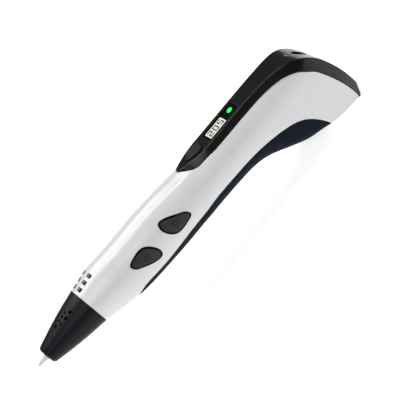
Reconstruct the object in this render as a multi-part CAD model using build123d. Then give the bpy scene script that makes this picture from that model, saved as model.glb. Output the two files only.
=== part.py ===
"""A handheld three d pen: split white body, black top and bottom covers, hot nose, filament drive and controls.

The filament runs along X. The origin is the centre of the nozzle's orifice, +X runs to the tail, +Z is up
through the top cover, and the two side buttons are on the -Y side. All sizes are in millimetres.
"""
import math
import os

from build123d import *

# ---------------------------------------------------------------- driving dimensions
WALL = 1.6
COVER_WALL = 1.5
BOW_SOLID_X = 117.0
PARTING_GAP = 0.08
SECTION_POINTS = 24

NOZZLE_BORE_R = 0.35
NOZZLE_TIP_R = 0.62
NOZZLE_BASE_R = 1.45
FILAMENT_BORE_R = 1.2
REAR_BORE_R = 1.3
INLET_THROAT_R = 1.5

NOSE_FRONT_X = 5.3
NOSE_BASE_X = 33.1
NOSE_FRONT_R = 4.4
NOSE_BASE_R = 9.85
NOSE_WALL = 1.4
NOSE_LIP = 2.4
NOSE_OPENING_R = 1.95

VENT_ROWS_X = (35.6, 39.1, 42.6)
VENT_ANGLES = (-12.5, 12.5)
VENT_LENGTH = 1.9
VENT_WIDTH = 2.7

FUNNEL_R = 2.85
INLET_BUSH_R = 4.3
INLET_X = 174.3

FOOT_FRONT = (160.6, -30.85)
FOOT_BACK = (182.4, -33.0)

BUTTON_GAP = 0.18
BUTTON_PROUD = 0.25
BEZEL_WIDTH = 0.6
ARROW_CENTRE = (63.9, 0.3)
ARROW_ANGLE = 60
ARROW_REACH = 2.2
ARROW_LINE = 0.42
ARROW_DEPTH = 0.35

SHAFT_R = 1.0
ROLLER_R = 4.0
FEED_X = 94.0
FILAMENT_R = 0.875
NIP = 0.1
FEED_Z = -(FILAMENT_R - NIP + ROLLER_R)
IDLER_R = 2.4
IDLER_Z = FILAMENT_R - NIP + IDLER_R
MODULE = 0.4
PINION_TEETH = 10
CROWN_TEETH = 30
PINION_Y = 6.0
MOTOR_R = 4.0
MOTOR_X = 103.0
MOTOR_SHAFT_R = 0.6
MESH_X = FEED_X + CROWN_TEETH * MODULE / 2
ROLLER_GROOVES = 36
BUSH_R = 1.5
NEAR_WALL_Y = (-5.6, -4.5)
FAR_WALL_Y = (4.8, 5.8)
ARM_PIVOT = (87.6, 3.9)
PIVOT_R = 0.8
IDLER_AXLE_R = 0.6
GUIDE_R = 2.0
MELT_TUBE_R = 1.6
HEATER_WIRE_YZ = [(-1.2, -4.6), (-2.6, -4.6)]
SOCKET_X = 168.0
SOCKET_R = 3.6
SCREW_R = 0.8
SCREW_HEAD_Y = 7.6
BOARD_Z = 3.5
LED_X = 135.2
MODE_X = 111.3
MODE_FLANGE = 0.6
MODE_FLANGE_Z = 6.5
COVER_CEILING = 7.1
LENS_Z = 7.9
BOARD_POSTS = [(118.0, 4.3), (139.6, 4.1)]

# Body stations: x, top z, z of the widest line, bottom z, half width, upper and lower roundness (2 is an
# ellipse, more is boxier).
BODY = [
    (33.1, 10.15, 0.0, -10.15, 10.15, 2.0, 2.0),
    (38.9, 10.8, -0.5, -11.75, 10.95, 2.0, 2.0),
    (45.9, 11.3, -1.1, -13.5, 11.7, 2.0, 2.0),
    (53.0, 10.9, -1.9, -14.8, 12.1, 2.0, 2.0),
    (63.0, 10.7, -2.5, -15.7, 12.3, 2.0, 2.0),
    (76.0, 10.7, -2.8, -16.3, 12.3, 2.0, 2.0),
    (89.7, 9.7, -3.3, -16.4, 12.2, 2.0, 2.0),
    (100.0, 8.6, -3.9, -16.5, 12.0, 2.0, 2.0),
    (110.0, 8.5, -3.9, -16.7, 11.9, 2.0, 2.0),
    (121.0, 8.4, -3.9, -17.3, 11.9, 2.0, 2.0),
    (127.0, 8.4, -4.0, -18.3, 11.9, 2.0, 2.0),
    (132.0, 8.4, -4.2, -19.9, 11.9, 2.0, 2.1),
    (137.0, 8.4, -4.6, -22.5, 11.9, 2.0, 2.25),
    (142.0, 8.4, -5.2, -25.4, 11.95, 2.05, 2.5),
    (147.0, 8.3, -6.2, -28.1, 12.0, 2.15, 2.8),
    (152.0, 8.2, -7.5, -30.0, 12.0, 2.3, 3.2),
    (158.0, 8.2, -9.0, -31.5, 12.0, 2.5, 3.6),
    (164.0, 8.2, -11.0, -34.5, 11.9, 2.8, 3.6),
    (170.0, 8.0, -13.0, -37.5, 11.6, 3.0, 3.4),
    (176.0, 6.0, -15.0, -39.0, 11.1, 3.0, 3.2),
    (184.0, 4.0, -16.0, -40.0, 10.3, 3.0, 3.0),
]

# Top cover stations: x, z of the top face, half width at the crease, half width and depth at the flank's edge.
COVER = [
    (96.0, 9.25, 5.4, 7.4, 2.95),
    (105.0, 9.15, 5.4, 7.4, 2.95),
    (114.0, 8.65, 5.4, 7.4, 2.95),
    (120.0, 8.6, 5.4, 7.5, 3.0),
    (140.0, 8.6, 5.35, 7.6, 3.1),
    (150.0, 8.34, 5.6, 8.1, 3.1),
    (156.0, 7.91, 6.05, 8.85, 3.3),
    (160.0, 7.41, 6.65, 9.55, 3.6),
    (164.0, 6.56, 7.45, 10.35, 4.2),
    (168.0, 5.2, 8.4, 10.9, 5.0),
    (171.5, 2.85, 9.2, 11.2, 5.6),
    (174.3, -0.1, 9.2, 11.3, 5.7),
    (176.2, -2.9, 8.6, 11.2, 5.5),
    (178.2, -7.0, 7.9, 11.1, 5.5),
    (180.2, -13.0, 7.5, 10.9, 5.3),
    (181.6, -18.7, 7.2, 10.7, 5.0),
    (182.4, -24.5, 6.9, 10.4, 4.6),
    (182.7, -34.5, 6.6, 10.1, 4.2),
]

# Plan of the cover's bow: x, half width at BOW_HEIGHTS[0] and how much wider it is at BOW_HEIGHTS[-1].
BOW = [
    (100.6, 0.0, 0.0),
    (101.2, 0.6, 4.5),
    (102.5, 0.9, 8.4),
    (104.3, 1.3, 10.0),
    (106.3, 2.1, 9.0),
    (108.7, 2.95, 7.6),
    (111.5, 3.7, 6.3),
    (114.0, 4.15, 5.6),
    (119.0, 4.8, 4.9),
]
BOW_HEIGHTS = (10.4, 9.2, 8.4, 7.6, 6.6, 2.0)
BOW_KEEL = 1.4

# Upper edge of the belly strip and heel, in side view.
BELLY_EDGE = [
    (49.6, -12.0),
    (52.6, -9.7),
    (62.6, -9.3),
    (76.0, -9.3),
    (89.7, -8.5),
    (103.3, -8.0),
    (117.0, -8.2),
    (127.4, -8.9),
    (134.3, -9.8),
    (140.5, -11.1),
    (146.7, -12.9),
    (151.6, -15.3),
    (154.9, -18.2),
    (158.0, -22.6),
    (160.0, -26.6),
    (161.6, -31.5),
]

# Outer outline of the front side button's rim, in side view; the rear one is the same turned half a turn.
BUTTON_OUTLINE = [
    (56.4, 2.6),
    (57.2, 0.8),
    (60.0, -1.2),
    (63.4, -3.2),
    (66.8, -4.6),
    (68.9, -4.6),
    (70.0, -2.9),
    (69.8, -0.6),
    (68.4, 2.2),
    (66.4, 4.1),
    (63.4, 4.8),
    (59.4, 4.4),
]
BUTTON_PAIR_CENTRE = (73.3, 0.4)

# Half of the mode button's plan: x and half width.
MODE_OUTLINE = [(107.0, 0.45), (108.2, 1.75), (110.2, 2.95), (112.4, 3.5), (114.4, 3.2), (115.4, 2.2), (115.7, 0.7)]


# ---------------------------------------------------------------- helpers
def side_plane(y=0.0):
    """The XZ plane at y, drawn with x to the right and z up; its normal is -Y."""
    return Plane(origin=(0, y, 0), x_dir=(1, 0, 0), z_dir=(0, -1, 0))


def along_x(radius, x0, x1, y=0.0, z=0.0):
    """A cylinder along X from x0 to x1."""
    return extrude(Plane(origin=(x0, y, z), x_dir=(0, 1, 0), z_dir=(1, 0, 0)) * Circle(radius), x1 - x0)


def along_y(radius, y0, y1, x, z):
    """A cylinder along Y from y0 to y1."""
    return extrude(Plane(origin=(x, y0, z), x_dir=(1, 0, 0), z_dir=(0, 1, 0)) * Circle(radius), y1 - y0)


def along_z(radius, z0, z1, x, y=0.0):
    """A cylinder along Z from z0 to z1."""
    return extrude(Plane(origin=(x, y, z0)) * Circle(radius), z1 - z0)


def block(x0, x1, y0, y1, z0, z1):
    """A box between two corners."""
    centre = ((x0 + x1) / 2, (y0 + y1) / 2, (z0 + z1) / 2)
    return Pos(*centre) * Box(x1 - x0, y1 - y0, z1 - z0)


def turned(points):
    """A solid of revolution about X from (x, r) points."""
    face = make_face(Plane.XY * Polyline(*points, close=True))
    return revolve(face, Axis.X, 360)


def prism_y(wire, y0, y1):
    """A side-view outline carried from y0 to y1."""
    return extrude(make_face(wire), abs(y1 - y0), dir=(0, 1 if y1 > y0 else -1, 0))


def body_section(station, inset):
    """One closed cross-section of the body, brought in by inset all round."""
    x, top, middle, bottom, half_width, upper, lower = station
    points = []
    for i in range(SECTION_POINTS):
        angle = 2 * math.pi * i / SECTION_POINTS
        c, s = math.cos(angle), math.sin(angle)
        power = 2 / (upper if s >= 0 else lower)
        reach = top - middle if s >= 0 else middle - bottom
        across = (half_width - inset) * math.copysign(abs(c) ** power, c)
        height = (reach - inset) * math.copysign(abs(s) ** power, s)
        points.append(Vector(x, across, middle + height))
    return Wire([Edge.make_spline(points, periodic=True)])


def body_solid(inset=0.0):
    """The pen's outer body, or the same body brought in by inset and run out past its front end."""
    sections = [body_section(station, inset) for station in BODY]
    if inset > 0:
        sections.insert(0, sections[0].translate((-2, 0, 0)))
    return Solid.make_loft(sections) - below_foot(inset)


def cover_frame(i):
    """The side-view place and outward normal of one cover station."""
    x, z = COVER[i][:2]
    before = COVER[max(i - 1, 0)]
    after = COVER[min(i + 1, len(COVER) - 1)]
    along = Vector(after[0] - before[0], 0, after[1] - before[1]).normalized()
    return Vector(x, 0, z), Vector(-along.Z, 0, along.X)


def between_rails(rails):
    """A solid whose sides are ruled from each smooth rail to the next, with flat ends."""
    curves = [Edge.make_spline(points) for points in rails]
    faces = []
    for i, curve in enumerate(curves):
        faces.append(Face.make_surface_from_curves(curve, curves[(i + 1) % len(curves)]))
    for end in (0, -1):
        faces.append(make_face(Polyline(*[points[end] for points in rails], close=True)))
    return Solid(Shell(faces))


def cover_rails(corner):
    """The four rails through the corners that corner(crease, edge, depth) gives as two (half width, height)."""
    rails = [[], [], [], []]
    for i, (x, z, crease, edge, depth) in enumerate(COVER):
        origin, normal = cover_frame(i)
        (top, top_h), (low, low_h) = corner(crease, edge, depth)
        places = [(top, top_h), (low, low_h), (-low, low_h), (-top, top_h)]
        for rail, (y, h) in zip(rails, places):
            rail.append(origin + Vector(0, y, 0) + normal * h)
    return rails


def bow_outline(z, spread):
    """Plan of the cover's boat-shaped bow at one height, grown by spread and open to the rear."""
    drop = (BOW_HEIGHTS[0] - z) / (BOW_HEIGHTS[0] - BOW_HEIGHTS[-1])
    side = []
    for x, half, flare in BOW[1:]:
        grown = half + flare * drop + spread * min(1, (x - BOW[0][0] + 0.3) / 3)
        side.append(Vector(x, -grown, z))
    tip = Vector(BOW[0][0] - BOW_KEEL * drop - spread * 0.25, 0, z)
    other = [Vector(p.X, -p.Y, z) for p in reversed(side)]
    curve = Spline(*(side[::-1] + [tip] + other[::-1]))
    rear = Polyline(other[0], Vector(124, 24, z), Vector(200, 24, z), Vector(200, -24, z), Vector(124, -24, z), side[-1])
    return make_face(Wire([curve.edge()] + rear.edges()))


def off_the_bow(spread):
    """What lies outside the boat-shaped bow, to be cut away from the cover."""
    bow = loft([bow_outline(z, spread) for z in BOW_HEIGHTS], ruled=True)
    return block(90, 121, -22, 22, BOW_HEIGHTS[-1] + 0.1, BOW_HEIGHTS[0] - 0.1) - bow


def cover_solid():
    """The top cover's envelope: a flat face and two flanks, with the boat-shaped bow."""
    rails = cover_rails(lambda crease, edge, depth: ((crease, 0), (edge, -depth)))
    return between_rails(rails) - off_the_bow(0)


def cover_hollow():
    """The room inside the top cover, open below; the bow stays solid."""
    rails = cover_rails(lambda crease, edge, depth: ((crease - 0.9, -COVER_WALL), (edge - 1.8, -depth - 1.0)))
    return between_rails(rails) - block(80, BOW_SOLID_X, -20, 20, -20, 20)


def cover_edge_point(i, offset):
    """Where the flank of one cover station meets the white body, in side view."""
    origin, normal = cover_frame(i)
    return origin - normal * (COVER[i][4] + offset)


def cover_notch(offset):
    """The room that the top cover takes out of the body: all above its edge, offset downward."""
    points = [cover_edge_point(i, offset) for i in range(len(COVER))]
    curve = Spline(*points)
    high = Vector(points[0].X, 0, 40)
    far = Vector(220, 0, 40)
    low = Vector(220, 0, points[-1].Z)
    rest = Polyline(points[-1], low, far, high, points[0])
    face = make_face(Wire([curve.edge()] + rest.edges()))
    notch = Pos(0, -20, 0) * extrude(face, 40, dir=(0, 1, 0))
    return notch - off_the_bow(offset)


def below_belly_edge(offset=0.0):
    """Everything below the belly edge, in side view."""
    edge = [(x, z + offset) for x, z in BELLY_EDGE]
    curve = side_plane() * Spline(*edge)
    start = Vector(edge[0][0], 0, edge[0][1])
    end = Vector(edge[-1][0], 0, edge[-1][1])
    low = -60
    rest = Polyline(end, Vector(end.X, 0, low), Vector(start.X, 0, low), start)
    face = make_face(Wire([curve.edge()] + rest.edges()))
    return Pos(0, -20, 0) * extrude(face, 40, dir=(0, 1, 0))


def below_foot(rise=0.0):
    """Everything below the foot plane, raised by rise."""
    front = Vector(FOOT_FRONT[0], 0, FOOT_FRONT[1] + rise)
    back = Vector(FOOT_BACK[0], 0, FOOT_BACK[1] + rise)
    slope = (back - front).normalized()
    a = front - slope * 40
    b = back + slope * 20
    face = make_face(Polyline(a, b, b - Vector(0, 0, 25), a - Vector(0, 0, 25), close=True))
    return Pos(0, -20, 0) * extrude(face, 40, dir=(0, 1, 0))


def screw_axes():
    """Side-view places of the screws that hold the two white halves together."""
    return [(42.0, -6.6), (134.5, -5.6), (161.0, -11.0), (172.6, -16.0)]


# ---------------------------------------------------------------- shells
def vent_cutters():
    """Six vents in three pairs behind the nose, radial to the filament axis."""
    cutters = []
    for x in VENT_ROWS_X:
        for angle in VENT_ANGLES:
            cutters.append(Rot(X=angle) * Pos(x, 0, 10) * Box(VENT_LENGTH, VENT_WIDTH, 8))
    return cutters


def bosses():
    """Screw bosses of the near half, ending just short of the middle plane."""
    return [along_y(2.5, -13, -0.05, x, z) & OUTER for x, z in screw_axes()]


def plain_half():
    """The near half of the white body with the vents and the socket hole, before its own features."""
    shell = OUTER - INNER - cover_notch(PARTING_GAP) - below_belly_edge(PARTING_GAP)
    near = shell & block(20, 200, -30, -0.04, -60, 40)
    holes = vent_cutters() + [along_z(SOCKET_R, -40, -28, SOCKET_X)]
    return near - holes


def left_shell():
    """The near white half, with the button windows and the screws' thread holes."""
    windows = [side_prism(wire, -20, -6) for wire in button_wires(BEZEL_WIDTH + 0.1)]
    threads = [along_y(SCREW_R, -7.5, 1, x, z) for x, z in screw_axes()]
    return ((PLAIN_HALF - windows) + bosses()) - threads


def right_shell():
    """The far white half, the mirror of a plain near half, with clearance holes and head pockets."""
    holes = [along_y(1.1, -14, 1, x, z) for x, z in screw_axes()]
    pockets = [along_y(2.1, -14, -SCREW_HEAD_Y, x, z) for x, z in screw_axes()]
    return mirror((PLAIN_HALF + bosses()) - (holes + pockets), Plane.XZ)


def bottom_cover():
    """The black belly strip that grows into the heel."""
    return (OUTER - INNER) & below_belly_edge()


def top_cover():
    """The black cover over the top and down the back of the tail, with its openings and board posts."""
    cover = COVER_ENVELOPE - cover_hollow()
    cover = cover - below_foot() - cover_end_cut()
    cover = cover - along_x(INLET_BUSH_R, INLET_X - 12, INLET_X + 12)
    cover = cover - mode_opening(0.2, 11.0) - mode_opening(MODE_FLANGE + 0.3, MODE_FLANGE_Z + 0.6)
    cover = cover - lens_opening()
    for x, y in BOARD_POSTS:
        for side in (-1, 1):
            cover = cover + along_z(0.9, BOARD_Z + 1.0, COVER_CEILING + 0.4, x, side * y)
    return cover


def cover_end_cut():
    """The slanting lower end of the top cover."""
    corner = Vector(182.9, 0, -28.0)
    toe = Vector(179.6, 0, -33.2)
    outline = Polyline(corner, toe, Vector(179.6, 0, -40), Vector(192, 0, -40), Vector(192, 0, -28), close=True)
    return Pos(0, -20, 0) * extrude(make_face(outline), 40, dir=(0, 1, 0))


# ---------------------------------------------------------------- nose and hot end
def nose_radius(x):
    """Outer radius of the nose cone: a straight taper with a slight swell."""
    t = (x - NOSE_FRONT_X) / (NOSE_BASE_X - NOSE_FRONT_X)
    return NOSE_FRONT_R + (NOSE_BASE_R - NOSE_FRONT_R) * t + 0.45 * math.sin(math.pi * t)


def nose_profile(inset):
    """Points of the nose's side from front to base, brought in by inset."""
    steps = 6
    xs = [NOSE_FRONT_X + 1.1 + (NOSE_BASE_X - NOSE_FRONT_X - 1.1) * i / steps for i in range(steps + 1)]
    return [(x, nose_radius(x) - inset) for x in xs]


def nose_cone():
    """The black perforated nose with a lip that plugs into the white body."""
    side = nose_profile(0)
    front = (NOSE_FRONT_X, NOSE_FRONT_R - 1.3)
    round_off = ThreePointArc(front, (NOSE_FRONT_X + 0.32, NOSE_FRONT_R - 0.35), side[0])
    outer = [
        Line((NOSE_FRONT_X, 0), front),
        round_off,
        Spline(*side),
        Line(side[-1], (NOSE_BASE_X, 0)),
        Line((NOSE_BASE_X, 0), (NOSE_FRONT_X, 0)),
    ]
    cone = revolve(make_face(outer), Axis.X, 360)
    cone = cone + along_x(NOSE_BASE_R - NOSE_WALL, NOSE_BASE_X - 1, NOSE_BASE_X + NOSE_LIP)
    inner = nose_profile(NOSE_WALL)
    room = turned([(7.2, 0), (7.2, 3.0)] + inner[1:-1] + [(NOSE_BASE_X - 1, 7.6), (NOSE_BASE_X + 4, 7.6), (NOSE_BASE_X + 4, 0)])
    cone = cone - room - along_x(NOSE_OPENING_R, 4, 9)
    for x, angle, radius in nose_holes():
        cone = cone - Rot(X=-angle) * along_z(radius, 2.2, 14, x)
    return cone


def nose_holes():
    """x, angle from the top and radius of each vent hole in the nose."""
    holes = [(19.0, 0, 0.52)]
    for side in (-1, 1):
        holes.append((17.3, side * 12.5, 0.75))
        for x in (20.2, 22.3, 24.4):
            holes.append((x, side * 14.0, 0.52))
        for x in (19.5, 22.7, 25.9):
            holes.append((x, side * 28.5, 0.75))
    return holes


def nozzle():
    """The pale conical nozzle with its orifice and melt bore."""
    outline = [(0, NOZZLE_BORE_R), (0, NOZZLE_TIP_R), (5.6, NOZZLE_BASE_R), (7.6, NOZZLE_BASE_R), (7.6, 2.6)]
    outline += [(9.2, 2.6), (9.2, FILAMENT_BORE_R), (7.4, FILAMENT_BORE_R), (6.4, 0.9), (2.0, 0.5), (1.2, NOZZLE_BORE_R)]
    return turned(outline)


def tube(outer, inner, x0, x1):
    """A tube on the filament axis."""
    return along_x(outer, x0, x1) - along_x(inner, x0 - 1, x1 + 1)


def hot_end_holder():
    """The disc in the nose that centres the melt tube and passes the heater wires."""
    disc = tube(7.5, MELT_TUBE_R, 27.0, 28.9)
    holes = [along_x(0.75, 26, 30, y, z) for y, z in HEATER_WIRE_YZ]
    slots = [Rot(X=angle) * Pos(28, 0, 5.2) * Box(4, 2.0, 1.6) for angle in (0, 90, 270)]
    return disc - (holes + slots)


def thermistor():
    """The bead and sleeve of the temperature sensor on the heater."""
    return along_x(0.6, 14.5, 19.5, 0, 4.2)


def inlet_bush():
    """The funnel piece, flush with the top cover, that leads the filament into the rear guide tube."""
    stock = along_x(INLET_BUSH_R, 163.0, 185.0)
    body = (stock & cover_hollow()) + (stock & COVER_ENVELOPE)
    funnel = turned([(167.8, 0), (167.8, INLET_THROAT_R), (172.5, FUNNEL_R), (190, FUNNEL_R), (190, 0)])
    return body - [funnel, along_x(INLET_THROAT_R, 160, 170), along_x(GUIDE_R, 160, 165.8)]


def power_socket():
    """The round supply socket in the foot, with its centre pin."""
    body = along_z(SOCKET_R, -31.1, -19.5, SOCKET_X) - along_z(2.75, -33, -22.0, SOCKET_X)
    return body + along_z(0.65, -30.4, -21.0, SOCKET_X)


def shell_screws():
    """The screws that join the two halves, with cross slots."""
    solids = []
    for x, z in screw_axes():
        screw = along_y(SCREW_R, -7.4, SCREW_HEAD_Y, x, z) + along_y(1.95, SCREW_HEAD_Y, SCREW_HEAD_Y + 1.5, x, z)
        for turn in (0, 90):
            screw = screw - Pos(x, SCREW_HEAD_Y + 1.5, z) * Rot(Y=turn) * Box(2.6, 1.2, 0.5)
        solids.append(screw)
    return Compound(children=solids)


# ---------------------------------------------------------------- controls
def button_wires(grow=0.0):
    """The outlines of the two side buttons' openings in their rim, at the middle plane, grown by grow."""
    grow = grow - BEZEL_WIDTH
    cx, cz = BUTTON_PAIR_CENTRE
    wires = []
    for turn in (1, -1):
        points = [(cx + turn * (x - cx), cz + turn * (z - cz)) for x, z in BUTTON_OUTLINE]
        mx = sum(p[0] for p in points) / len(points)
        mz = sum(p[1] for p in points) / len(points)
        grown = []
        for x, z in points:
            reach = math.hypot(x - mx, z - mz)
            grown.append(Vector(mx + (x - mx) * (1 + grow / reach), 0, mz + (z - mz) * (1 + grow / reach)))
        wires.append(Wire([Edge.make_spline(grown, periodic=True)]))
    return wires


def side_prism(wire, y0, y1):
    """A side-view outline at the middle plane, as a prism from y0 to y1 on the -Y side."""
    return Pos(0, y1, 0) * extrude(make_face(wire), y1 - y0, dir=(0, -1, 0))


def side_button(index):
    """One side button: a skirt, a retaining flange and a face that follows the body, with an engraved arrow."""
    shape = side_prism(button_wires(-BUTTON_GAP)[index], -20, -8.2) & PROUD
    flange = side_prism(button_wires(0.9)[index], -9.2, -8.2) & INNER_CLEAR
    return (shape + flange) - arrow_groove(index)


def arrow_centre(index):
    """Middle of one button's arrow, in side view."""
    cx, cz = BUTTON_PAIR_CENTRE
    x, z = ARROW_CENTRE
    return (x, z) if index == 0 else (2 * cx - x, 2 * cz - z)


def arrow_wire(index, reach):
    """A triangle round one arrow's middle; the two buttons' arrows point opposite ways."""
    cx, cz = arrow_centre(index)
    points = []
    for i in range(3):
        angle = math.radians(ARROW_ANGLE + 180 * index + 120 * i)
        points.append(Vector(cx + reach * math.cos(angle), 0, cz + reach * math.sin(angle)))
    return Polyline(*points, close=True)


def arrow_groove(index):
    """The engraved outline of one arrow."""
    outer = side_prism(arrow_wire(index, ARROW_REACH), -20, -9)
    inner = side_prism(arrow_wire(index, ARROW_REACH - 2 * ARROW_LINE), -21, -8)
    return (outer - inner) - GROOVE_FLOOR


def button_bezel():
    """The black frame behind the white shell that rims both side buttons."""
    outer = button_wires(BEZEL_WIDTH)
    inner = button_wires(0.0)
    ring_a = side_prism(outer[0], -20, -9.5)
    ring_b = side_prism(outer[1], -20, -9.5)
    rings = (ring_a + ring_b) & RIM
    plate = block(56, 90.6, -10.2, -9.5, -4.2, 5.0)
    frame = rings + (plate & INNER_CLEAR)
    for wire in inner:
        frame = frame - side_prism(wire, -21, -9)
    return frame


def mode_outline(grow):
    """Plan of the mode button: a pointed bow and a rounded stern."""
    points = []
    for side in (1, -1):
        for x, half in MODE_OUTLINE[::side]:
            points.append(Vector(MODE_X + (x - MODE_X) * (1 + grow / 4.3), side * half * (1 + grow / 3.4), 0))
    return make_face(Wire([Edge.make_spline(points, periodic=True)]))


def mode_opening(grow, top):
    """The hole for the mode button from below the cover up to a height."""
    return Pos(0, 0, 3) * extrude(mode_outline(grow), top - 3)


def mode_button():
    """The mode button, slightly domed, with a flange under the cover."""
    cap = Pos(0, 0, 6.5) * extrude(mode_outline(0), 5)
    dome = Pos(111.3, 0, 9.35 - 60) * Rot(X=90) * Cylinder(60, 40)
    return (cap & dome) + Pos(0, 0, MODE_FLANGE_Z) * extrude(mode_outline(MODE_FLANGE), 0.5)


def lens_opening():
    """The window that holds the display lens."""
    x0, x1, half = 119.4, 138.2, 3.9
    return extrude(Pos((x0 + x1) / 2, 0, COVER_CEILING - 0.1) * RectangleRounded(x1 - x0, 2 * half, 0.7), 4)


def display_lens():
    """The clear window over the display and the status light."""
    lens = lens_opening() & block(100, 150, -10, 10, LENS_Z, 8.45)
    return lens - along_z(1.35, LENS_Z - 1, 8.1, LED_X)


# ---------------------------------------------------------------- drive
def feed_shaft():
    """The cross shaft that carries the feed roller and the crown gear."""
    return along_y(SHAFT_R, NEAR_WALL_Y[0], FAR_WALL_Y[1], FEED_X, FEED_Z)


def feed_roller():
    """The knurled roller below the filament."""
    roller = along_y(ROLLER_R, -1.3, 1.3, FEED_X, FEED_Z) - along_y(SHAFT_R, -3, 3, FEED_X, FEED_Z)
    grooves = []
    for i in range(ROLLER_GROOVES):
        turn = Rot(Y=360 * i / ROLLER_GROOVES)
        grooves.append(Pos(FEED_X, 0, FEED_Z) * turn * Pos(ROLLER_R + 0.06, 0, 0) * Rot(Y=45) * Box(0.28, 4, 0.28))
    return roller - grooves


def crown_gear():
    """The face gear on the feed shaft: a disc with radial teeth on its +Y face."""
    rim = CROWN_TEETH * MODULE / 2
    face = PINION_Y - PINION_TEETH * MODULE / 2
    teeth = []
    for i in range(CROWN_TEETH):
        low = Plane(origin=(0, face - 0.5, 0), x_dir=(1, 0, 0), z_dir=(0, 1, 0)) * Pos(rim, 0) * Rectangle(1.4, 0.6)
        high = Plane(origin=(0, face + 0.28, 0), x_dir=(1, 0, 0), z_dir=(0, 1, 0)) * Pos(rim, 0) * Rectangle(1.4, 0.24)
        tooth = Solid.make_loft([low.wire(), high.wire()], True)
        teeth.append(Pos(FEED_X, 0, FEED_Z) * Rot(Y=360 * i / CROWN_TEETH) * tooth)
    disc = along_y(rim + 0.7, face - 1.4, face - 0.4, FEED_X, FEED_Z)
    hub = along_y(2.2, face - 1.6, face + 0.2, FEED_X, FEED_Z)
    return (disc + [hub] + teeth) - along_y(SHAFT_R, -9, 9, FEED_X, FEED_Z)


def pinion():
    """The motor's spur pinion, in mesh with the crown gear."""
    pitch = PINION_TEETH * MODULE / 2
    x0, x1 = MESH_X - 0.6, MESH_X + 0.9
    outline = [(0.8, -0.36), (0.8, 0.36), (pitch + 0.26, 0.13), (pitch + 0.26, -0.13)]
    teeth = []
    for i in range(PINION_TEETH):
        profile = Polyline(*[Vector(x0, y, z) for y, z in outline], close=True)
        tooth = extrude(make_face(profile), x1 - x0, dir=(1, 0, 0))
        teeth.append(Rot(X=360 * (i + 0.5) / PINION_TEETH) * tooth)
    gear = along_x(pitch - 0.42, x0, x1) + teeth
    return Pos(0, PINION_Y, FEED_Z) * (gear - along_x(MOTOR_SHAFT_R, x0 - 1, x1 + 1))


def motor():
    """The small motor behind its reduction gearbox."""
    can = along_x(MOTOR_R - 0.2, MOTOR_X + 9.2, MOTOR_X + 23.0, PINION_Y, FEED_Z)
    return can + along_x(1.4, MOTOR_X + 23.0, MOTOR_X + 23.6, PINION_Y, FEED_Z)


def gearbox():
    """The round reduction gearbox on the motor's front."""
    box = along_x(MOTOR_R, MOTOR_X, MOTOR_X + 9.2, PINION_Y, FEED_Z)
    box = box + along_x(1.6, MOTOR_X - 0.6, MOTOR_X, PINION_Y, FEED_Z)
    return box - along_x(MOTOR_SHAFT_R + 0.05, MOTOR_X - 2, MOTOR_X + 4.1, PINION_Y, FEED_Z)


def motor_cradle():
    """The saddle that carries the motor in the far half."""
    saddle = block(MOTOR_X + 2, MOTOR_X + 7, 1.6, 14, -11.6, -3.6) & INNER
    return saddle - along_x(MOTOR_R, MOTOR_X - 2, MOTOR_X + 12, PINION_Y, FEED_Z)


def motor_shaft():
    """The gearbox output shaft inside the pinion."""
    return along_x(MOTOR_SHAFT_R, MESH_X - 0.6, MOTOR_X + 4.0, PINION_Y, FEED_Z)


def drive_frame():
    """The moulded bracket that holds the shaft bushes, the idler pivot, the spring and the guide tubes."""
    near_y, far_y = NEAR_WALL_Y, FAR_WALL_Y
    blocks = [
        block(85.5, 99.6, near_y[0], 1.4, -12.3, -11.3),
        block(85.5, 88.0, near_y[0], 1.4, -12.3, 1.0),
        block(98.3, 99.6, near_y[0], 1.4, -12.3, 1.0),
        block(86.5, 98.5, -4.0, 1.0, -20, -12.2) & INNER,
        block(86.5, 97.0, 1.3, far_y[1], -12.3, -11.6),
        block(91.0, 97.0, far_y[0], far_y[1], -12.3, -2.0),
        block(84.9, 86.2, near_y[0], 2.6, 2.1, 2.5),
        block(79.6, 85.3, -2.6, 2.6, 2.1, 2.5),
    ]
    frame = block(85.5, 99.6, near_y[0], near_y[1], -12.3, 5.2) + blocks
    cutters = [along_y(BUSH_R, -9, 9, FEED_X, FEED_Z), along_y(PIVOT_R, -9, 0, *ARM_PIVOT)]
    cutters.append(along_x(GUIDE_R, 80, 110))
    return frame - cutters


def shaft_bushes():
    """The two plain bushes that carry the feed shaft."""
    rings = []
    for y0, y1 in (NEAR_WALL_Y, FAR_WALL_Y):
        ring = along_y(BUSH_R, y0, y1, FEED_X, FEED_Z) - along_y(SHAFT_R + 0.04, y0 - 1, y1 + 1, FEED_X, FEED_Z)
        rings.append(ring)
    return Compound(children=rings)


def idler_arm():
    """The arm that presses the idler bearing on the filament: two cheeks joined by the spring's crossbar."""
    outline = [(80.2, 5.6), (80.2, 6.6), (95.6, 6.0), (97.0, 4.8), (95.6, 2.0), (92.4, 2.0), (90.4, 2.9)]
    outline += [(86.8, 2.8), (85.6, 4.2), (83.6, 5.6)]
    wire = Polyline(*[Vector(x, 0, z) for x, z in outline], close=True)
    cheek = extrude(make_face(wire), 0.9, dir=(0, 1, 0))
    arm = Pos(0, 1.55, 0) * cheek + [Pos(0, -2.45, 0) * cheek, block(80.2, 82.8, -2.0, 2.0, 5.6, 6.6)]
    return arm - [along_y(PIVOT_R + 0.04, -4, 4, *ARM_PIVOT), along_y(IDLER_AXLE_R, -4, 4, FEED_X, IDLER_Z)]


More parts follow.
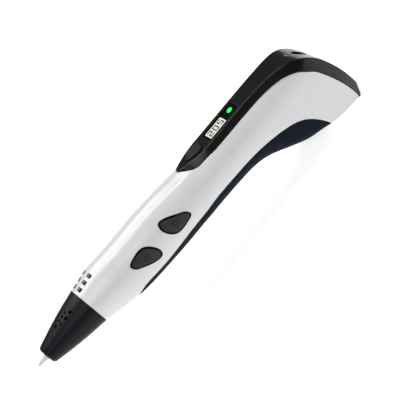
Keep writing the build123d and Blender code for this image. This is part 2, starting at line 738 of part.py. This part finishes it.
def idler_bearing():
    """The small roller bearing above the filament."""
    ring = along_y(IDLER_R, -1.5, 1.5, FEED_X, IDLER_Z)
    grooves = [along_y(2.0, y0, y0 + 0.15, FEED_X, IDLER_Z) - along_y(1.1, y0, y0 + 0.15, FEED_X, IDLER_Z) for y0 in (-1.5, 1.35)]
    return ring - (grooves + [along_y(IDLER_AXLE_R + 0.04, -3, 3, FEED_X, IDLER_Z)])


def arm_spring():
    """The compression spring between the frame's ledge and the idler arm."""
    z0, z1, radius, wire_r, turns = 2.75, 5.4, 1.2, 0.2, 4
    path = Pos(81.5, 0, z0) * Helix(pitch=(z1 - z0) / turns, height=z1 - z0, radius=radius)
    section = Plane(origin=path @ 0, z_dir=path % 0) * Circle(wire_r)
    return sweep(section, path=path, is_frenet=True)


# ---------------------------------------------------------------- electronics
def main_board():
    """The long circuit board under the top cover."""
    board = block(103.5, 152.0, -5.2, 5.2, BOARD_Z, BOARD_Z + 1.0)
    chips = [
        block(140.0, 146.0, -2.8, 2.8, BOARD_Z + 1.0, BOARD_Z + 2.0),
        block(147.5, 150.5, -3.5, -1.5, BOARD_Z + 1.0, BOARD_Z + 1.8),
        block(147.5, 150.5, 1.0, 3.4, BOARD_Z + 1.0, BOARD_Z + 1.8),
    ]
    return board + chips


def button_board():
    """The upright circuit board behind the two side buttons."""
    return block(58.0, 84.9, -5.2, -4.4, -5.6, 5.0)


def oled_panel():
    """The display module below the lens."""
    return block(119.9, 132.6, -3.7, 3.7, BOARD_Z + 1.0, LENS_Z - 0.15)


def status_led():
    """The round indicator light below the lens."""
    return along_z(1.3, BOARD_Z + 1.0, 8.05, LED_X)


def switch_places():
    """Middle of each side button's switch in side view."""
    return [arrow_centre(0), arrow_centre(1)]


def tact_switches():
    """The three push switches, each a small box with a round recess for its plunger."""
    solids = []
    for x, z in switch_places():
        box = block(x - 2.2, x + 2.2, -7.0, -5.2, z - 2.2, z + 2.2)
        solids.append(box - along_y(0.95, -8, -6.0, x, z))
    box = block(MODE_X - 2.2, MODE_X + 2.2, -2.2, 2.2, BOARD_Z + 1.0, BOARD_Z + 2.1)
    solids.append(box - along_z(0.95, BOARD_Z + 1.3, 8, MODE_X))
    return Compound(children=solids)


def side_plunger(index):
    """The plunger that one side button pushes."""
    x, z = switch_places()[index]
    return along_y(0.8, -8.2, -6.75, x, z)


def mode_plunger():
    """The plunger that the mode button pushes."""
    return along_z(0.8, BOARD_Z + 1.9, 6.5, MODE_X)


OUTER = body_solid()
INNER = body_solid(WALL)
COVER_ENVELOPE = cover_solid()
PROUD = body_solid(-BUTTON_PROUD)
GROOVE_FLOOR = body_solid(ARROW_DEPTH - BUTTON_PROUD)
RIM = body_solid(-0.15)
INNER_CLEAR = body_solid(WALL + 0.1)
PLAIN_HALF = plain_half()

NODES = {
    "left_shell": left_shell(),
    "right_shell": right_shell(),
    "top_cover": top_cover(),
    "bottom_cover": bottom_cover(),
    "nose_cone": nose_cone(),
    "button_bezel": button_bezel(),
    "feed_button": side_button(0),
    "retract_button": side_button(1),
    "feed_plunger": side_plunger(0),
    "retract_plunger": side_plunger(1),
    "mode_button": mode_button(),
    "mode_plunger": mode_plunger(),
    "display_lens": display_lens(),
    "oled_panel": oled_panel(),
    "status_led": status_led(),
    "main_board": main_board(),
    "button_board": button_board(),
    "tact_switches": tact_switches(),
    "nozzle": nozzle(),
    "melt_tube": tube(MELT_TUBE_R, FILAMENT_BORE_R, 9.2, 29.0),
    "heater_core": tube(3.0, MELT_TUBE_R, 10.0, 21.0),
    "insulating_sleeve": tube(3.6, 3.0, 10.0, 21.0),
    "thermistor": thermistor(),
    "hot_end_holder": hot_end_holder(),
    "front_guide_tube": tube(GUIDE_R, FILAMENT_BORE_R, 29.0, 88.2),
    "rear_guide_tube": tube(GUIDE_R, REAR_BORE_R, 98.4, 165.8),
    "inlet_bush": inlet_bush(),
    "drive_frame": drive_frame(),
    "shaft_bushes": shaft_bushes(),
    "feed_shaft": feed_shaft(),
    "feed_roller": feed_roller(),
    "crown_gear": crown_gear(),
    "pinion": pinion(),
    "motor_shaft": motor_shaft(),
    "gearbox": gearbox(),
    "motor": motor(),
    "motor_cradle": motor_cradle(),
    "idler_arm": idler_arm(),
    "idler_pivot_pin": along_y(PIVOT_R, NEAR_WALL_Y[0], 2.9, *ARM_PIVOT),
    "idler_axle": along_y(IDLER_AXLE_R, -2.45, 2.45, FEED_X, IDLER_Z),
    "idler_bearing": idler_bearing(),
    "arm_spring": arm_spring(),
    "power_socket": power_socket(),
    "shell_screws": shell_screws(),
}

os.makedirs("parts", exist_ok=True)
for name, shape in NODES.items():
    export_step(shape, f"parts/{name}.step")
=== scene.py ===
"""Looks of the three d pen: materials, added pieces, floor, light and camera over the frame."""

import math

import bmesh
import bpy
from mathutils import Matrix, Vector
from mathutils.bvhtree import BVHTree


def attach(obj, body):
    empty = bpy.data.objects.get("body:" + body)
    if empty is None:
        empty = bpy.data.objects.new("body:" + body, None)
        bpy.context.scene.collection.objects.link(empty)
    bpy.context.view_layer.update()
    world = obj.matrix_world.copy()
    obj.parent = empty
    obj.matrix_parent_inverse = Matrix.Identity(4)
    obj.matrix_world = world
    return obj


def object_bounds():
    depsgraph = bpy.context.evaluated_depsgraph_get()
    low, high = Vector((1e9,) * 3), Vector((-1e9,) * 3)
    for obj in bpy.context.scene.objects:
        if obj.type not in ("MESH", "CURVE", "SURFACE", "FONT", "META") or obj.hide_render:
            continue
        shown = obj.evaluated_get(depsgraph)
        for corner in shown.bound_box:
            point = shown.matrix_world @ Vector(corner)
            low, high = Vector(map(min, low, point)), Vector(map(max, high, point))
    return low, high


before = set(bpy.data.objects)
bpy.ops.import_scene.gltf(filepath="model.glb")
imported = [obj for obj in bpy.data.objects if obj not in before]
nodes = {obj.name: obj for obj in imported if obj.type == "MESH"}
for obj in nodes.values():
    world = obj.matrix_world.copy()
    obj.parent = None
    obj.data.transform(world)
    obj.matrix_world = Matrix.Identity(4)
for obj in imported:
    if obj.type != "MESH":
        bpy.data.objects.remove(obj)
cad_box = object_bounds()
MM = 0.001


# ---------------------------------------------------------------- places on the pen
# The status light, in metres: its middle under the window, its radius and its halo's radius.
LED_CENTRE = (135.2 * MM, 0, 8.05 * MM)
LED_RADIUS = 1.3 * MM
HALO_RADIUS = 2.6 * MM

# Its dome on the window, in mm: the radius and height of each ring.
DOME_RINGS = ((1.35, 8.44), (1.35, 8.5), (1.15, 8.58), (0.75, 8.63), (0.3, 8.65))
DOME_SIDES = 32

# The display, in mm: the lit field's x and y limits and round corners, and the heights.
SCREEN = (120.5, 130.7, -2.5, 3.1)
SCREEN_ROUND = 0.25
SCREEN_LOW = 7.75
SCREEN_HIGH = 7.79
DIGIT_HIGH = 7.83

# The reading, in mm: each digit's middle lines, the gap between digits, and half a bar's width.
READING = "205"
DIGIT_WIDTH = 1.8
DIGIT_HEIGHT = 3.5
DIGIT_GAP = 1.4
BAR_HALF = 0.28
BAR_ROUND = 0.12
BAR_ROUND_STEPS = 2

# The engraved triangles: the centre's x and z in mm, and the first corner's turn in degrees.
ARROWS = {"feed": ((63.9, 0.3), 60), "retract": ((82.7, 0.5), 240)}
ARROW_REACH = 2.2
ARROW_LINE = 0.42

# Painted shade: a dark line in a triangle's groove that stands in for the groove's shadow, in
# mm: its gap to the groove's walls and its heights.
SHADE_SLACK = 0.05
SHADE_LOW = 0.01
SHADE_HIGH = 0.10
SHADE_STEPS = 8
RAY_START = -0.03  # a y in metres, clear of the buttons' faces


# ---------------------------------------------------------------- node helpers
def new_material(name):
    """An empty node material with its Principled shader and output joined."""
    material = bpy.data.materials.new(name)
    material.use_nodes = True
    tree = material.node_tree
    tree.nodes.clear()
    shader = tree.nodes.new("ShaderNodeBsdfPrincipled")
    output = tree.nodes.new("ShaderNodeOutputMaterial")
    tree.links.new(shader.outputs["BSDF"], output.inputs["Surface"])
    return material, tree, shader


def coordinates(tree, scale=(1, 1, 1)):
    """Object coordinates, stretched by scale."""
    source = tree.nodes.new("ShaderNodeTexCoord")
    mapping = tree.nodes.new("ShaderNodeMapping")
    mapping.inputs["Scale"].default_value = scale
    tree.links.new(source.outputs["Object"], mapping.inputs["Vector"])
    return mapping.outputs["Vector"]


def noise(tree, vector, scale, detail=3.0, roughness=0.5):
    """A noise texture's value."""
    node = tree.nodes.new("ShaderNodeTexNoise")
    node.inputs["Scale"].default_value = scale
    node.inputs["Detail"].default_value = detail
    node.inputs["Roughness"].default_value = roughness
    tree.links.new(vector, node.inputs["Vector"])
    return node.outputs["Fac"]


def spread(tree, value, low, high, start=0.3, end=0.7):
    """A value mapped from start..end to low..high."""
    node = tree.nodes.new("ShaderNodeMapRange")
    node.inputs["From Min"].default_value = start
    node.inputs["From Max"].default_value = end
    node.inputs["To Min"].default_value = low
    node.inputs["To Max"].default_value = high
    tree.links.new(value, node.inputs["Value"])
    return node.outputs["Result"]


def tint(tree, value, stops):
    """A colour ramp over a value from (place, colour) stops."""
    node = tree.nodes.new("ShaderNodeValToRGB")
    ramp = node.color_ramp
    for i, (place, colour) in enumerate(stops):
        element = ramp.elements[i] if i < 2 else ramp.elements.new(place)
        element.position = place
        element.color = (*colour, 1)
    tree.links.new(value, node.inputs["Fac"])
    return node.outputs["Color"]


def relief(tree, shader, value, strength, distance, edge=0.0):
    """A bump from a value, over softened edges where edge is above 0."""
    bump = tree.nodes.new("ShaderNodeBump")
    bump.inputs["Strength"].default_value = strength
    bump.inputs["Distance"].default_value = distance
    tree.links.new(value, bump.inputs["Height"])
    if edge > 0:
        soft = tree.nodes.new("ShaderNodeBevel")
        soft.samples = 4
        soft.inputs["Radius"].default_value = edge
        tree.links.new(soft.outputs["Normal"], bump.inputs["Normal"])
    tree.links.new(bump.outputs["Normal"], shader.inputs["Normal"])


def around(tree, centre, radius):
    """1 at a centre, falling to 0 at a radius, in object coordinates."""
    source = tree.nodes.new("ShaderNodeTexCoord")
    far = tree.nodes.new("ShaderNodeVectorMath")
    far.operation = "DISTANCE"
    far.inputs[1].default_value = centre
    tree.links.new(source.outputs["Object"], far.inputs[0])
    return spread(tree, far.outputs["Value"], 1.0, 0.0, start=0.0, end=radius)


def shade(colour, factor):
    """A colour scaled by factor."""
    return tuple(min(1.0, c * factor) for c in colour)


# ---------------------------------------------------------------- kinds of material
def moulded(name, base, low, high, grain=0.15, grain_size=2600, coat=0.0,
            edge=0.0002, drift=0.05, shine=0.5, ior=1.5):
    """Moulded plastic: a fine grain, roughness from low to high and a slight drift of colour."""
    material, tree, shader = new_material(name)
    vector = coordinates(tree)
    cloud = noise(tree, vector, 38.0)
    smear = noise(tree, coordinates(tree, (0.35, 1.0, 1.0)), 210.0, detail=4.0, roughness=0.6)
    skin = noise(tree, vector, grain_size, detail=2.0)
    colour = tint(tree, cloud, [(0.3, shade(base, 1 - drift)), (0.7, shade(base, 1 + drift))])
    tree.links.new(colour, shader.inputs["Base Color"])
    tree.links.new(spread(tree, smear, low, high), shader.inputs["Roughness"])
    shader.inputs["Specular IOR Level"].default_value = shine
    shader.inputs["IOR"].default_value = ior
    shader.inputs["Coat Weight"].default_value = coat
    shader.inputs["Coat Roughness"].default_value = 0.12
    relief(tree, shader, skin, grain, distance=0.00003, edge=edge)
    return material


def metal(name, base, low, high, along):
    """Turned or drawn metal: fine lines along one direction and uneven gloss."""
    material, tree, shader = new_material(name)
    lines = noise(tree, coordinates(tree, along), 900.0, detail=4.0, roughness=0.6)
    cloud = noise(tree, coordinates(tree), 160.0)
    colour = tint(tree, cloud, [(0.3, shade(base, 0.88)), (0.7, shade(base, 1.06))])
    tree.links.new(colour, shader.inputs["Base Color"])
    tree.links.new(spread(tree, lines, low, high), shader.inputs["Roughness"])
    shader.inputs["Metallic"].default_value = 1.0
    relief(tree, shader, lines, strength=0.2, distance=0.00002, edge=0.0001)
    return material


def circuit(name, base):
    """A solder-masked board with faint tracks under the mask."""
    material, tree, shader = new_material(name)
    vector = coordinates(tree)
    bricks = tree.nodes.new("ShaderNodeTexBrick")
    bricks.inputs["Scale"].default_value = 420.0
    bricks.inputs["Mortar Size"].default_value = 0.035
    bricks.inputs["Color1"].default_value = (*base, 1)
    bricks.inputs["Color2"].default_value = (*shade(base, 0.8), 1)
    bricks.inputs["Mortar"].default_value = (*shade(base, 1.9), 1)
    tree.links.new(vector, bricks.inputs["Vector"])
    tree.links.new(bricks.outputs["Color"], shader.inputs["Base Color"])
    gloss = spread(tree, noise(tree, vector, 300.0), 0.28, 0.42)
    tree.links.new(gloss, shader.inputs["Roughness"])
    relief(tree, shader, bricks.outputs["Fac"], strength=0.25, distance=0.00003, edge=0.0001)
    return material


def smoked_window(name, centre, radius):
    """The dark clear window, with the status light's halo spreading in it."""
    material, tree, shader = new_material(name)
    wipe = noise(tree, coordinates(tree, (0.5, 1.0, 1.0)), 420.0)
    shader.inputs["Base Color"].default_value = (0.003, 0.003, 0.003, 1)
    shader.inputs["Alpha"].default_value = 0.42
    shader.inputs["Specular IOR Level"].default_value = 0.2
    tree.links.new(spread(tree, wipe, 0.07, 0.13), shader.inputs["Roughness"])
    fall = tree.nodes.new("ShaderNodeMath")
    fall.operation = "POWER"
    fall.inputs[1].default_value = 2.6
    tree.links.new(around(tree, centre, radius), fall.inputs[0])
    glow = spread(tree, fall.outputs["Value"], 0.0, 0.5, start=0.0, end=1.0)
    shader.inputs["Emission Color"].default_value = (0.03, 0.9, 0.14, 1)
    tree.links.new(glow, shader.inputs["Emission Strength"])
    relief(tree, shader, wipe, strength=0.05, distance=0.00002)
    return material


def lamp(name, middle, outside, strength):
    """The status light: one colour at its middle, turning to another at its outside."""
    material, tree, shader = new_material(name)
    glow = around(tree, LED_CENTRE, LED_RADIUS)
    colour = tint(tree, glow, [(0.0, outside), (1.0, middle)])
    tree.links.new(colour, shader.inputs["Base Color"])
    tree.links.new(colour, shader.inputs["Emission Color"])
    shader.inputs["Emission Strength"].default_value = strength
    shader.inputs["Roughness"].default_value = 0.2
    return material


def lit_screen(name):
    """The display's lit field: warm white with a faint grid, its sizes in mm."""
    material, tree, shader = new_material(name)
    grid = tree.nodes.new("ShaderNodeTexBrick")
    grid.offset = 0.0
    grid.inputs["Scale"].default_value = 1000.0
    grid.inputs["Brick Width"].default_value = 0.175
    grid.inputs["Row Height"].default_value = 0.175
    grid.inputs["Mortar Size"].default_value = 0.01
    grid.inputs["Color1"].default_value = (1.0, 1.0, 0.9, 1)
    grid.inputs["Color2"].default_value = (0.97, 1.0, 0.88, 1)
    grid.inputs["Mortar"].default_value = (0.7, 0.74, 0.62, 1)
    tree.links.new(coordinates(tree), grid.inputs["Vector"])
    tree.links.new(grid.outputs["Color"], shader.inputs["Emission Color"])
    tree.links.new(grid.outputs["Color"], shader.inputs["Base Color"])
    shader.inputs["Emission Strength"].default_value = 2.4
    shader.inputs["Roughness"].default_value = 0.4
    return material


# ---------------------------------------------------------------- materials
white = moulded("white_plastic", (0.70, 0.70, 0.70), 0.27, 0.31,
                grain=0.10, grain_size=1700, coat=0.25, edge=0.00025, drift=0.012)
black = moulded("black_gloss", (0.0045, 0.0045, 0.0048), 0.14, 0.22,
                grain=0.05, grain_size=1900, edge=0.0009, shine=0.6, ior=1.32)
belly = moulded("black_belly", (0.008, 0.011, 0.018), 0.5, 0.62,
                grain=0.08, grain_size=1900, edge=0.0003, shine=0.03)
nose = moulded("black_nose", (0.0035, 0.0042, 0.0065), 0.32, 0.44, grain=0.12, shine=0.16)
rubber = moulded("button_charcoal", (0.030, 0.030, 0.032), 0.42, 0.55,
                 grain=0.30, grain_size=3200, edge=0.0003, drift=0.06, shine=0.2)
mode_rubber = moulded("mode_charcoal", (0.013, 0.013, 0.014), 0.42, 0.55,
                      grain=0.30, grain_size=3200, edge=0.0003, drift=0.06, shine=0.2)
matt_black = moulded("rim_black", (0.0025, 0.0025, 0.0026), 0.35, 0.45,
                     grain=0.05, edge=0.0001, shine=0.06)
switch = moulded("switch_black", (0.03, 0.03, 0.032), 0.4, 0.55)
bracket = moulded("bracket_grey", (0.09, 0.09, 0.10), 0.45, 0.6, grain=0.35, grain_size=2200)
slick = moulded("tube_white", (0.78, 0.78, 0.75), 0.3, 0.42)
gear_white = moulded("gear_white", (0.70, 0.69, 0.64), 0.35, 0.5)
ceramic = moulded("nozzle_pale", (0.66, 0.67, 0.68), 0.30, 0.42,
                  grain=0.2, grain_size=2400, coat=0.1, edge=0.0001, drift=0.03)
sleeve = moulded("sleeve_tan", (0.45, 0.33, 0.16), 0.5, 0.7, grain=0.5, grain_size=1500)
steel = metal("drawn_steel", (0.56, 0.56, 0.57), 0.22, 0.38, along=(0.1, 1, 1))
turned_steel = metal("turned_steel", (0.58, 0.58, 0.59), 0.2, 0.36, along=(1, 0.2, 1))
brass = metal("brass", (0.72, 0.50, 0.20), 0.22, 0.4, along=(1, 0.2, 1))
alloy = metal("alloy", (0.66, 0.67, 0.69), 0.3, 0.45, along=(0.2, 1, 1))
board = circuit("board_green", (0.012, 0.07, 0.03))
panel = moulded("panel_black", (0.003, 0.003, 0.003), 0.2, 0.3, grain=0.05, shine=0.1)
window = smoked_window("smoked_window", LED_CENTRE, HALO_RADIUS)
bright_led = lamp("status_green", (0.02, 1.0, 0.12), (0.0, 0.85, 0.08), 1.1)
dim_led = lamp("status_dim", (0.0, 0.05, 0.01), (0.0, 0.03, 0.01), 0.3)
screen_white = lit_screen("lit_screen")
# One dark material for the display's digits and for the painted shade in the side buttons'
# grooves.
digit_ink_and_groove_shade = moulded("screen_ink_and_groove_shade", (0.004, 0.004, 0.004), 0.4, 0.5)

FINISH = {
    "left_shell": white,
    "right_shell": white,
    "top_cover": black,
    "bottom_cover": belly,
    "nose_cone": nose,
    "button_bezel": matt_black,
    "feed_button": rubber,
    "retract_button": rubber,
    "feed_plunger": switch,
    "retract_plunger": switch,
    "mode_button": mode_rubber,
    "mode_plunger": switch,
    "display_lens": window,
    "oled_panel": panel,
    "status_led": dim_led,
    "main_board": board,
    "button_board": board,
    "tact_switches": switch,
    "nozzle": ceramic,
    "melt_tube": steel,
    "heater_core": alloy,
    "insulating_sleeve": sleeve,
    "thermistor": sleeve,
    "hot_end_holder": slick,
    "front_guide_tube": slick,
    "rear_guide_tube": slick,
    "inlet_bush": black,
    "drive_frame": bracket,
    "shaft_bushes": brass,
    "feed_shaft": turned_steel,
    "feed_roller": brass,
    "crown_gear": gear_white,
    "pinion": brass,
    "motor_shaft": steel,
    "gearbox": alloy,
    "motor": steel,
    "motor_cradle": bracket,
    "idler_arm": bracket,
    "idler_pivot_pin": turned_steel,
    "idler_axle": turned_steel,
    "idler_bearing": turned_steel,
    "arm_spring": steel,
    "power_socket": matt_black,
    "shell_screws": turned_steel,
}


def paint_nodes():
    """Give every carried-over CAD node its material."""
    for name, node in nodes.items():
        node.data.materials.clear()
        node.data.materials.append(FINISH[name])
        for face in node.data.polygons:
            face.material_index = 0


# ---------------------------------------------------------------- shapes
def band(bm, first, second):
    """Faces between two rings of as many vertices."""
    count = len(first)
    for i in range(count):
        j = (i + 1) % count
        bm.faces.new((first[i], first[j], second[j], second[i]))


def slab(bm, outline, low, high):
    """A flat slab from an outline of (x, y), between two heights, all in mm."""
    bottom = [bm.verts.new((x * MM, y * MM, low * MM)) for x, y in outline]
    top = [bm.verts.new((x * MM, y * MM, high * MM)) for x, y in outline]
    bm.faces.new(bottom[::-1])
    bm.faces.new(top)
    band(bm, bottom, top)


def rounded(x0, x1, y0, y1, radius, steps=5):
    """Outline of a rectangle with round corners."""
    points = []
    corners = [(x1 - radius, y1 - radius, 0), (x0 + radius, y1 - radius, 90)]
    corners += [(x0 + radius, y0 + radius, 180), (x1 - radius, y0 + radius, 270)]
    for cx, cy, start in corners:
        for i in range(steps + 1):
            angle = math.radians(start + 90 * i / steps)
            points.append((cx + radius * math.cos(angle), cy + radius * math.sin(angle)))
    return points


# ---------------------------------------------------------------- display and status light
def screen(bm):
    """The lit field of the display."""
    slab(bm, rounded(*SCREEN, SCREEN_ROUND), SCREEN_LOW, SCREEN_HIGH)


# The bars of a digit: both ends (u, v) of each middle line, u across and v up, from 0 to 1.
BARS = {
    "a": ((0, 1), (1, 1)),
    "b": ((1, 0.5), (1, 1)),
    "c": ((1, 0), (1, 0.5)),
    "d": ((0, 0), (1, 0)),
    "e": ((0, 0), (0, 0.5)),
    "f": ((0, 0.5), (0, 1)),
    "g": ((0, 0.5), (1, 0.5)),
}
DIGITS = {"0": "abcdef", "2": "abged", "5": "afgcd"}


def digits(bm):
    """The generic reading, read with the nozzle to the left."""
    total = len(READING) * DIGIT_WIDTH + (len(READING) - 1) * DIGIT_GAP
    left = (SCREEN[0] + SCREEN[1]) / 2 - total / 2
    low = (SCREEN[2] + SCREEN[3]) / 2 - DIGIT_HEIGHT / 2
    for place, digit in enumerate(READING):
        start = left + place * (DIGIT_WIDTH + DIGIT_GAP)
        for bar in DIGITS[digit]:
            (u0, v0), (u1, v1) = BARS[bar]
            x0 = start + u0 * DIGIT_WIDTH - BAR_HALF
            x1 = start + u1 * DIGIT_WIDTH + BAR_HALF
            y0 = low + v0 * DIGIT_HEIGHT - BAR_HALF
            y1 = low + v1 * DIGIT_HEIGHT + BAR_HALF
            outline = rounded(x0, x1, y0, y1, BAR_ROUND, BAR_ROUND_STEPS)
            slab(bm, outline, SCREEN_HIGH, DIGIT_HIGH)


def dome(bm):
    """The status light's low round dome on the window."""
    turns = [2 * math.pi * i / DOME_SIDES for i in range(DOME_SIDES)]
    rings = []
    for radius, height in DOME_RINGS:
        reach = radius * MM
        ring = []
        for turn in turns:
            x = LED_CENTRE[0] + reach * math.cos(turn)
            ring.append(bm.verts.new((x, reach * math.sin(turn), height * MM)))
        rings.append(ring)
    for lower, upper in zip(rings, rings[1:]):
        band(bm, lower, upper)
    bm.faces.new(rings[0][::-1])
    bm.faces.new(rings[-1])


# ---------------------------------------------------------------- side buttons
def groove_shade(node, centre, turn):
    """A builder for the painted shade, a dark line in the bottom of one side button's engraved
    triangle.
    """
    points = [node.matrix_world @ v.co for v in node.data.vertices]
    surface = BVHTree.FromPolygons(points, [f.vertices for f in node.data.polygons])
    outer = ARROW_REACH - 2 * SHADE_SLACK
    inner = ARROW_REACH - 2 * ARROW_LINE + 2 * SHADE_SLACK

    def corner(reach, i):
        """Corner i of the triangle at a reach from its centre, as (x, z) in mm."""
        angle = math.radians(turn + 120 * i)
        return Vector((centre[0] + reach * math.cos(angle), centre[1] + reach * math.sin(angle)))

    def at(point, lift):
        """The place over the groove's floor, lifted from it by some mm."""
        x, z = point * MM
        hit = surface.ray_cast(Vector((x, RAY_START, z)), Vector((0, 1, 0)))[0]
        return Vector((x, hit.y - lift * MM, z))

    def build(bm):
        loop = []
        for i in range(3):
            for step in range(SHADE_STEPS):
                share = step / SHADE_STEPS
                edges = [corner(r, i).lerp(corner(r, i + 1), share) for r in (outer, inner)]
                lifted = [at(edge, lift) for lift in (SHADE_LOW, SHADE_HIGH) for edge in edges]
                loop.append([bm.verts.new(place) for place in lifted])
        low_out, low_in, high_out, high_in = zip(*loop)
        band(bm, low_out, high_out)
        band(bm, low_in, high_in)
        band(bm, high_out, high_in)
        band(bm, low_out, low_in)

    return build


# ---------------------------------------------------------------- pieces
def piece_from(name, build, material, body):
    """A mesh piece filled by build(bm), riding on a body."""
    mesh = bpy.data.meshes.new(name)
    bm = bmesh.new()
    build(bm)
    bmesh.ops.recalc_face_normals(bm, faces=bm.faces)
    bm.to_mesh(mesh)
    bm.free()
    piece = bpy.data.objects.new(name, mesh)
    bpy.context.scene.collection.objects.link(piece)
    mesh.materials.append(material)
    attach(piece, body)
    return piece


def build_pieces():
    """All pieces added to the CAD nodes."""
    piece_from("display_field", screen, screen_white, "pen_body")
    piece_from("display_digits", digits, digit_ink_and_groove_shade, "pen_body")
    piece_from("status_dome", dome, bright_led, "pen_body")
    for name, (centre, turn) in ARROWS.items():
        line = groove_shade(nodes[name + "_button"], centre, turn)
        # A dark line painted in as the shadow in each engraved triangle's groove.
        piece_from(name + "_arrow_shade", line, digit_ink_and_groove_shade, name + "_button_body")


# ---------------------------------------------------------------- stage, in metres
PEN_MIDDLE = (0.09, 0, 0)

FLOOR_SIZE = 4.0
FLOOR_GAP = 0.0005  # from the pen's lowest point down to the floor

# The floor's own glow: full around the pen, falling to its far value at a radius.
GLOW_NEAR = 0.78
GLOW_FAR = 0.12
GLOW_RADIUS = 1.5
GLOW_FALL = 0.62  # the share of the radius over which it falls

WORLD_COLOUR = (0.96, 0.98, 1.0, 1)
WORLD_STRENGTH = 0.16

# The area lights: place, length and width, power in watts, colour.
WHITE = (1, 1, 1)
BLUE = (0.4, 0.7, 1.0)
LIGHTS = {
    "key": ((0.05, 0.5, 0.85), (0.6, 0.6), 5.0, WHITE),
    "strip": ((0.09, 0.1, 0.8), (0.9, 0.06), 3.0, WHITE),
    "side": ((-0.2, -0.75, 0.8), (0.7, 0.7), 3.5, WHITE),
    "tail": ((0.75, -0.1, 0.5), (0.35, 0.35), 0.3, BLUE),
}

# The camera: its place and two of its axes, and its lens and sensor in mm.
CAMERA_PLACE = (0.0300, -0.6253, 0.39341)
CAMERA_RIGHT = (0.6349, -0.4699, -0.6133)
CAMERA_BACK = (-0.0909, -0.8337, 0.5446)
CAMERA_LENS = 150.05
CAMERA_SENSOR = 36.0
CAMERA_SIGHT = 10.0


def floor():
    """The plain pale floor under the pen."""
    material, tree, shader = new_material("pale_floor")
    cloud = noise(tree, coordinates(tree), 2.0, detail=2.0)
    colour = tint(tree, cloud, [(0.3, (0.60, 0.60, 0.60)), (0.7, (0.62, 0.62, 0.62))])
    tree.links.new(colour, shader.inputs["Base Color"])
    shader.inputs["Roughness"].default_value = 0.9
    shader.inputs["Emission Color"].default_value = (1, 1, 1, 1)
    near = around(tree, (0, 0, 0), GLOW_RADIUS)
    glow = spread(tree, near, GLOW_FAR, GLOW_NEAR, start=0.0, end=GLOW_FALL)
    tree.links.new(glow, shader.inputs["Emission Strength"])
    mesh = bpy.data.meshes.new("floor")
    bm = bmesh.new()
    bmesh.ops.create_grid(bm, x_segments=8, y_segments=8, size=FLOOR_SIZE)
    bm.to_mesh(mesh)
    bm.free()
    ground = bpy.data.objects.new("floor", mesh)
    ground.location = (PEN_MIDDLE[0], PEN_MIDDLE[1], cad_box[0][2] - FLOOR_GAP)
    mesh.materials.append(material)
    bpy.context.scene.collection.objects.link(ground)


def area_light(name, place, size, power, colour):
    """A soft rectangular light at a place, facing the pen's middle."""
    data = bpy.data.lights.new(name, "AREA")
    data.shape = "RECTANGLE"
    data.size, data.size_y = size
    data.energy = power
    data.color = colour
    light = bpy.data.objects.new(name, data)
    light.location = place
    aim = Vector(PEN_MIDDLE) - Vector(place)
    light.rotation_euler = aim.to_track_quat("-Z", "Y").to_euler()
    bpy.context.scene.collection.objects.link(light)


def lighting():
    """Soft studio light: a key from behind, a strip overhead, a fill and a blue tail light."""
    world = bpy.data.worlds.new("studio")
    world.use_nodes = True
    background = world.node_tree.nodes["Background"]
    background.inputs["Color"].default_value = WORLD_COLOUR
    background.inputs["Strength"].default_value = WORLD_STRENGTH
    bpy.context.scene.world = world
    for name, settings in LIGHTS.items():
        area_light(name, *settings)


def camera():
    """The camera, rolled so that the pen runs from lower left to upper right."""
    data = bpy.data.cameras.new("camera")
    data.lens = CAMERA_LENS
    data.sensor_width = CAMERA_SENSOR
    data.clip_end = CAMERA_SIGHT
    eye = bpy.data.objects.new("camera", data)
    right = Vector(CAMERA_RIGHT).normalized()
    back = Vector(CAMERA_BACK).normalized()
    up = back.cross(right).normalized()
    right = up.cross(back)
    turn = Matrix((right, up, back)).transposed().to_4x4()
    eye.matrix_world = Matrix.Translation(CAMERA_PLACE) @ turn
    bpy.context.scene.collection.objects.link(eye)
    bpy.context.scene.camera = eye


paint_nodes()
build_pieces()
floor()
lighting()
camera()
bpy.context.scene.view_settings.view_transform = "Standard"
